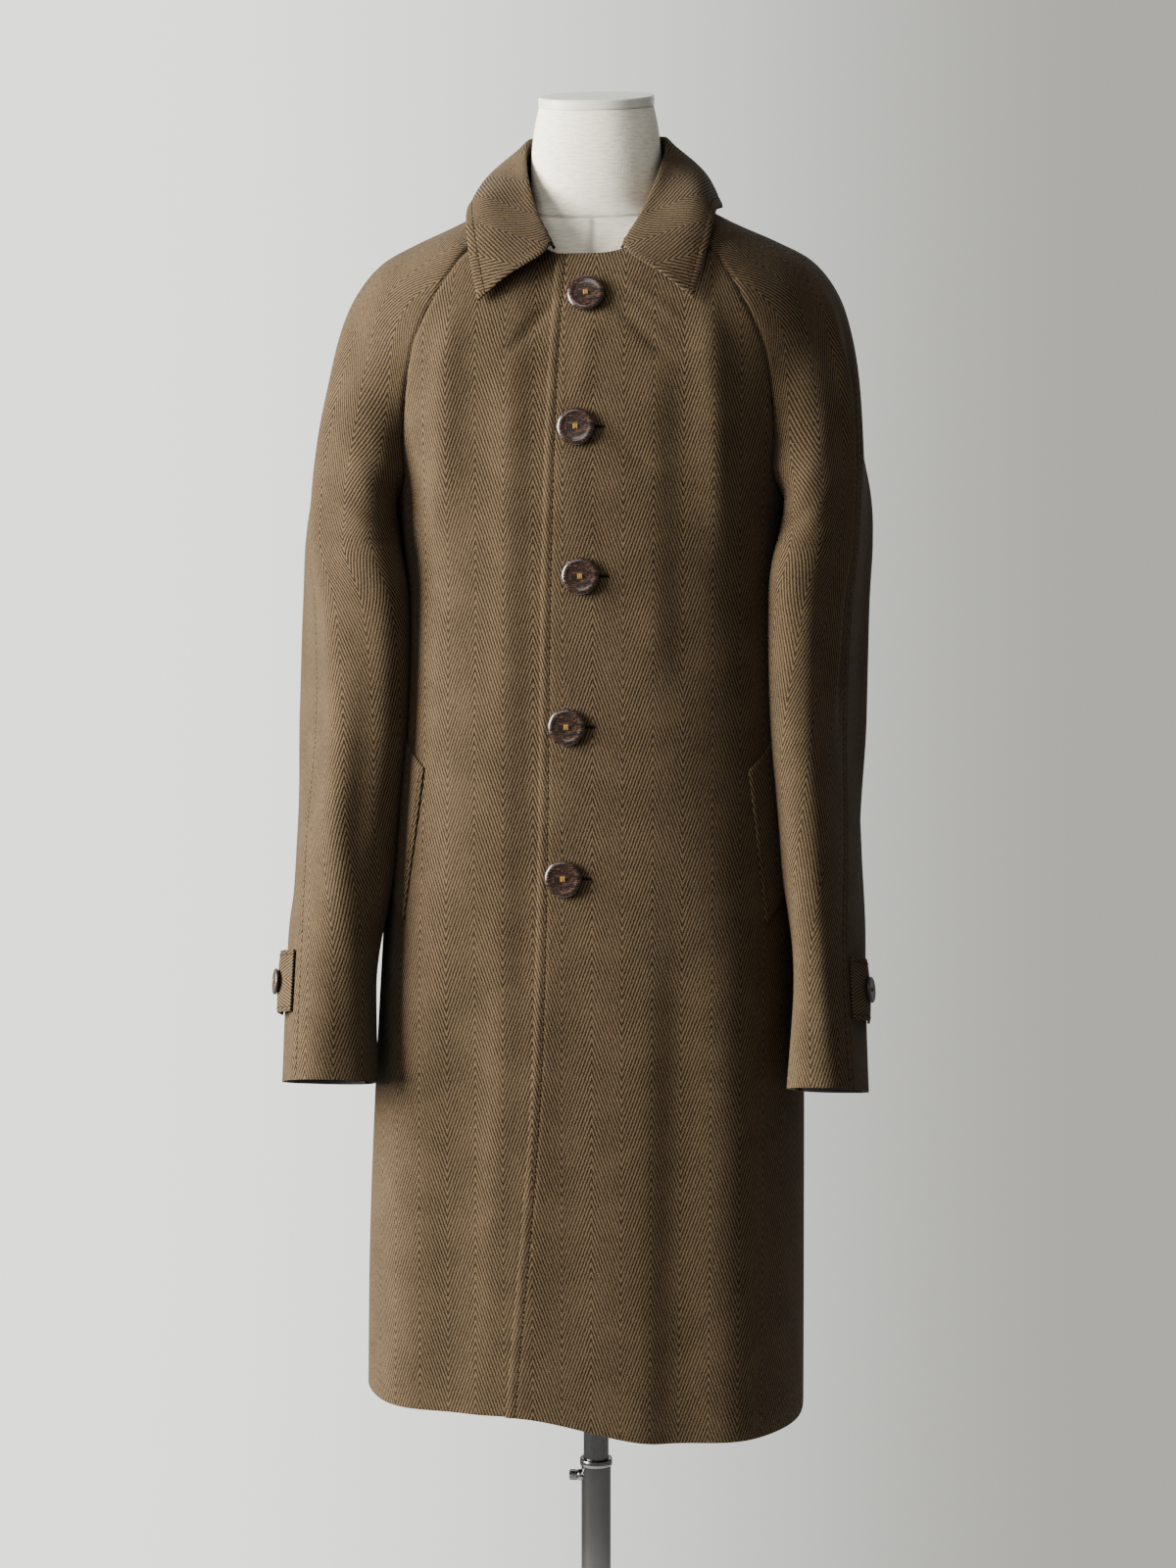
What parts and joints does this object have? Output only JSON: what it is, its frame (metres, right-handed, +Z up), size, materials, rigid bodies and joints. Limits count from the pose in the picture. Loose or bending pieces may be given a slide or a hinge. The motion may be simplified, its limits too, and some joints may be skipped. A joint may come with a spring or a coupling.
{
  "type": "single-breasted coat on a dress form",
  "caption": "Buttoned single-breasted raglan coat with turned-down collar, welt pockets and tabbed cuffs, worn by a limbless dress form on a telescopic stand.",
  "frame": {"origin": "middle of the base plate's underside, on the pole's axis", "axes": "+Z up along the pole; the coat's front faces -Y; the wearer's left is +X"},
  "size_m": [0.5066, 0.34, 1.5374],
  "materials": {
    "coat_cloth": "matte",
    "horn": "gloss",
    "linen": "matte",
    "cap": "satin",
    "chrome": "polished",
    "base": "satin"
  },
  "bodies": {
    "stand": {"base_plate": "base", "pole_lower": "chrome"},
    "pole": {"pole_upper": "chrome"},
    "garment": {"form_torso": "linen", "neck_cap": "cap", "front_left": "coat_cloth", "front_right": "coat_cloth", "back": "coat_cloth", "sleeve_front_left": "coat_cloth", "sleeve_back_left": "coat_cloth", "sleeve_front_right": "coat_cloth", "sleeve_back_right": "coat_cloth", "collar": "coat_cloth", "pocket_welt_left": "coat_cloth", "pocket_welt_right": "coat_cloth", "sleeve_tab_left": "coat_cloth", "sleeve_tab_right": "coat_cloth", "front_button_1": "horn", "front_button_2": "horn", "front_button_3": "horn", "front_button_4": "horn", "front_button_5": "horn", "sleeve_button_left": "horn", "sleeve_button_right": "horn"},
    "screw": {"thumb_screw": "chrome"}
  },
  "joints": [
    {"name": "pole_slide", "type": "slide", "parent": "stand", "child": "pole", "axis": [0, 0, 1], "range_m": [-0.115, 0.15]},
    {"name": "form_swivel", "type": "hinge", "parent": "pole", "child": "garment", "pos_m": [0, 0, 0.805], "axis": [0, 0, 1], "continuous": true},
    {"name": "screw_turn", "type": "hinge", "parent": "stand", "child": "screw", "pos_m": [-0.0158, 0, 0.34], "axis": [1, 0, 0], "continuous": true}
  ]
}
